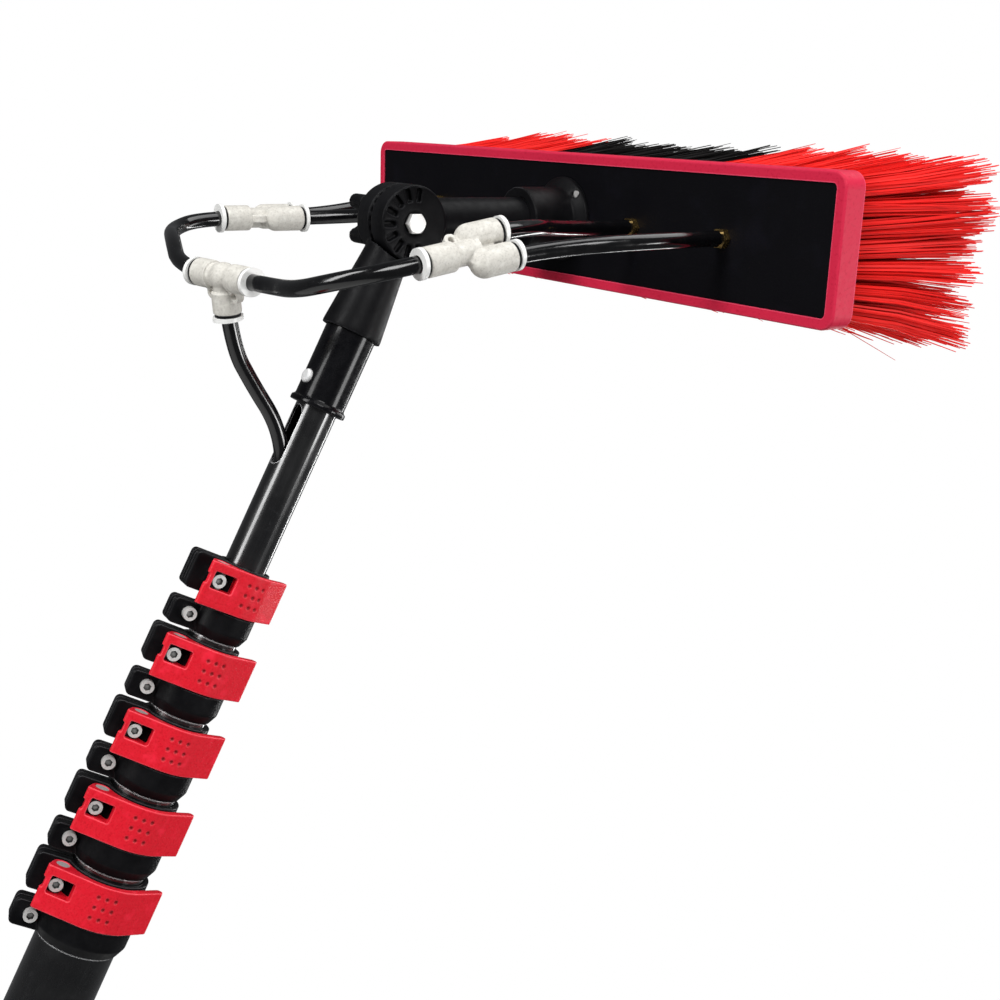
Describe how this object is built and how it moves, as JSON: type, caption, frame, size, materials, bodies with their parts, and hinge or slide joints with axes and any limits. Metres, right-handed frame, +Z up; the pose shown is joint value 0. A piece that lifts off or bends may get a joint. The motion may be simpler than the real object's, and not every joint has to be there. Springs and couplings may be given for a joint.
{
  "type": "water fed telescopic cleaning pole",
  "caption": "Telescopic cleaning pole with cam-lever clamps, a tilting toothed head joint and a hose-fed brush with spray jets.",
  "frame": {"origin": "centre of the base tube's lower end, on the pole's axis", "axes": "+Z up the pole from butt to head, X along the tilt axis and the brush's long side, +Y the side that the bristles point to"},
  "size_m": [0.411, 0.2961, 1.8259],
  "materials": {
    "tube_black": "black anodised, glossy",
    "lever_red": "moulded nylon with a dimpled grip",
    "screw_steel": "zinc-plated socket screws",
    "clamp_black": "moulded glass-filled nylon, satin",
    "sleeve_black": "moulded, semi-gloss",
    "arm_black": "moulded, satin",
    "knob_black": "moulded, satin",
    "bright_steel": "zinc-plated",
    "button_white": "moulded",
    "trim_rubber": "moulded edge bumper, satin",
    "plate_black": "fine-grained sheet",
    "bristle_red": "nylon filament tufts",
    "bristle_black": "nylon filament tufts",
    "brass": "turned",
    "fitting_grey": "moulded, satin",
    "ring_white": "moulded",
    "hose_black": "polyurethane tube, glossy"
  },
  "bodies": {
    "base": {"base_tube": "tube_black", "butt_plug": "knob_black", "clamp_5_body": "clamp_black", "clamp_5_screws": "screw_steel"},
    "section_5": {"tube_5": "tube_black", "clamp_4_body": "clamp_black", "clamp_4_screws": "screw_steel"},
    "section_4": {"tube_4": "tube_black", "clamp_3_body": "clamp_black", "clamp_3_screws": "screw_steel"},
    "section_3": {"tube_3": "tube_black", "clamp_2_body": "clamp_black", "clamp_2_screws": "screw_steel"},
    "section_2": {"tube_2": "tube_black", "clamp_1_body": "clamp_black", "clamp_1_screws": "screw_steel"},
    "section_1": {"tube_1": "tube_black", "adapter_sleeve": "sleeve_black", "lower_arm": "arm_black", "pivot_washer": "bright_steel", "button_spring": "bright_steel", "pole_hose": "hose_black", "hose_connector": "brass", "tee_body": "fitting_grey", "link_hose_left": "hose_black", "link_hose_right": "hose_black"},
    "lever_5": {"clamp_5_lever": "lever_red"},
    "lever_4": {"clamp_4_lever": "lever_red"},
    "lever_3": {"clamp_3_lever": "lever_red"},
    "lever_2": {"clamp_2_lever": "lever_red"},
    "lever_1": {"clamp_1_lever": "lever_red"},
    "head": {"upper_arm": "arm_black", "pivot_bolt": "bright_steel", "brush_socket": "arm_black", "flange_screws": "bright_steel", "brush_trim": "trim_rubber", "back_plate": "plate_black", "brush_block": "plate_black", "bristles_red": "bristle_red", "bristles_black": "bristle_black", "jets": "brass", "y_body_left": "fitting_grey", "jet_hose_left_inner": "hose_black", "jet_hose_left_outer": "hose_black", "y_body_right": "fitting_grey", "jet_hose_right_inner": "hose_black", "jet_hose_right_outer": "hose_black"},
    "knob": {"knob": "knob_black", "knob_insert": "brass"},
    "button": {"spring_button": "button_white"},
    "tee_ring_right": {"tee_ring_right": "ring_white"},
    "tee_ring_left": {"tee_ring_left": "ring_white"},
    "tee_ring_branch": {"tee_ring_branch": "ring_white"},
    "y_ring_right_inlet": {"y_ring_right_inlet": "ring_white"},
    "y_ring_right_inner": {"y_ring_right_inner": "ring_white"},
    "y_ring_right_outer": {"y_ring_right_outer": "ring_white"},
    "y_ring_left_inlet": {"y_ring_left_inlet": "ring_white"},
    "y_ring_left_inner": {"y_ring_left_inner": "ring_white"},
    "y_ring_left_outer": {"y_ring_left_outer": "ring_white"}
  },
  "joints": [
    {"name": "section_5_slide", "type": "slide", "parent": "base", "child": "section_5", "axis": [0, 0, 1], "range_m": [0, 1.1]},
    {"name": "section_4_slide", "type": "slide", "parent": "section_5", "child": "section_4", "axis": [0, 0, 1], "range_m": [0, 1.1]},
    {"name": "section_3_slide", "type": "slide", "parent": "section_4", "child": "section_3", "axis": [0, 0, 1], "range_m": [0, 1.1]},
    {"name": "section_2_slide", "type": "slide", "parent": "section_3", "child": "section_2", "axis": [0, 0, 1], "range_m": [0, 1.1]},
    {"name": "section_1_slide", "type": "slide", "parent": "section_2", "child": "section_1", "axis": [0, 0, 1], "range_m": [0, 1.1]},
    {"name": "lever_5_swing", "type": "hinge", "parent": "base", "child": "lever_5", "pos_m": [0.00306, -0.02644, 1.3145], "axis": [0, 0, -1], "range_deg": [0, 68]},
    {"name": "lever_4_swing", "type": "hinge", "parent": "section_5", "child": "lever_4", "pos_m": [0.00371, -0.02455, 1.3568], "axis": [0, 0, -1], "range_deg": [0, 68]},
    {"name": "lever_3_swing", "type": "hinge", "parent": "section_4", "child": "lever_3", "pos_m": [0.00436, -0.02265, 1.3991], "axis": [0, 0, -1], "range_deg": [0, 68]},
    {"name": "lever_2_swing", "type": "hinge", "parent": "section_3", "child": "lever_2", "pos_m": [0.00501, -0.02076, 1.4414], "axis": [0, 0, -1], "range_deg": [0, 68]},
    {"name": "lever_1_swing", "type": "hinge", "parent": "section_2", "child": "lever_1", "pos_m": [0.00886, -0.0176, 1.4837], "axis": [0, 0, -1], "range_deg": [0, 68]},
    {"name": "head_tilt", "type": "hinge", "parent": "section_1", "child": "head", "pos_m": [0, 0, 1.6897], "axis": [1, 0, 0], "range_deg": [-35, 60], "deforming": ["link_hose_left", "link_hose_right"]},
    {"name": "knob_turn", "type": "hinge", "parent": "head", "child": "knob", "pos_m": [0, 0, 1.6897], "axis": [-1, 0, 0], "continuous": true},
    {"name": "button_press", "type": "slide", "parent": "section_1", "child": "button", "axis": [0, 1, 0], "range_m": [0, 0.0035], "stiffness_N_per_m": 900, "deforming": ["button_spring"]},
    {"name": "tee_ring_right_press", "type": "slide", "parent": "section_1", "child": "tee_ring_right", "axis": [-0.9666, -0.241, -0.0872], "range_m": [0, 0.0012], "stiffness_N_per_m": 600},
    {"name": "tee_ring_left_press", "type": "slide", "parent": "section_1", "child": "tee_ring_left", "axis": [0.9666, 0.241, 0.0872], "range_m": [0, 0.0012], "stiffness_N_per_m": 600},
    {"name": "tee_ring_branch_press", "type": "slide", "parent": "section_1", "child": "tee_ring_branch", "axis": [0.0695, -0.574, 0.8159], "range_m": [0, 0.0012], "stiffness_N_per_m": 600},
    {"name": "y_ring_right_inlet_press", "type": "slide", "parent": "head", "child": "y_ring_right_inlet", "axis": [0, 0.7955, 0.606], "range_m": [0, 0.0012], "stiffness_N_per_m": 600},
    {"name": "y_ring_right_inner_press", "type": "slide", "parent": "head", "child": "y_ring_right_inner", "axis": [0, -0.7955, -0.606], "range_m": [0, 0.0012], "stiffness_N_per_m": 600},
    {"name": "y_ring_right_outer_press", "type": "slide", "parent": "head", "child": "y_ring_right_outer", "axis": [0, -0.7955, -0.606], "range_m": [0, 0.0012], "stiffness_N_per_m": 600},
    {"name": "y_ring_left_inlet_press", "type": "slide", "parent": "head", "child": "y_ring_left_inlet", "axis": [0, 0.8829, 0.4695], "range_m": [0, 0.0012], "stiffness_N_per_m": 600},
    {"name": "y_ring_left_inner_press", "type": "slide", "parent": "head", "child": "y_ring_left_inner", "axis": [0, -0.8829, -0.4695], "range_m": [0, 0.0012], "stiffness_N_per_m": 600},
    {"name": "y_ring_left_outer_press", "type": "slide", "parent": "head", "child": "y_ring_left_outer", "axis": [0, -0.8829, -0.4695], "range_m": [0, 0.0012], "stiffness_N_per_m": 600}
  ]
}
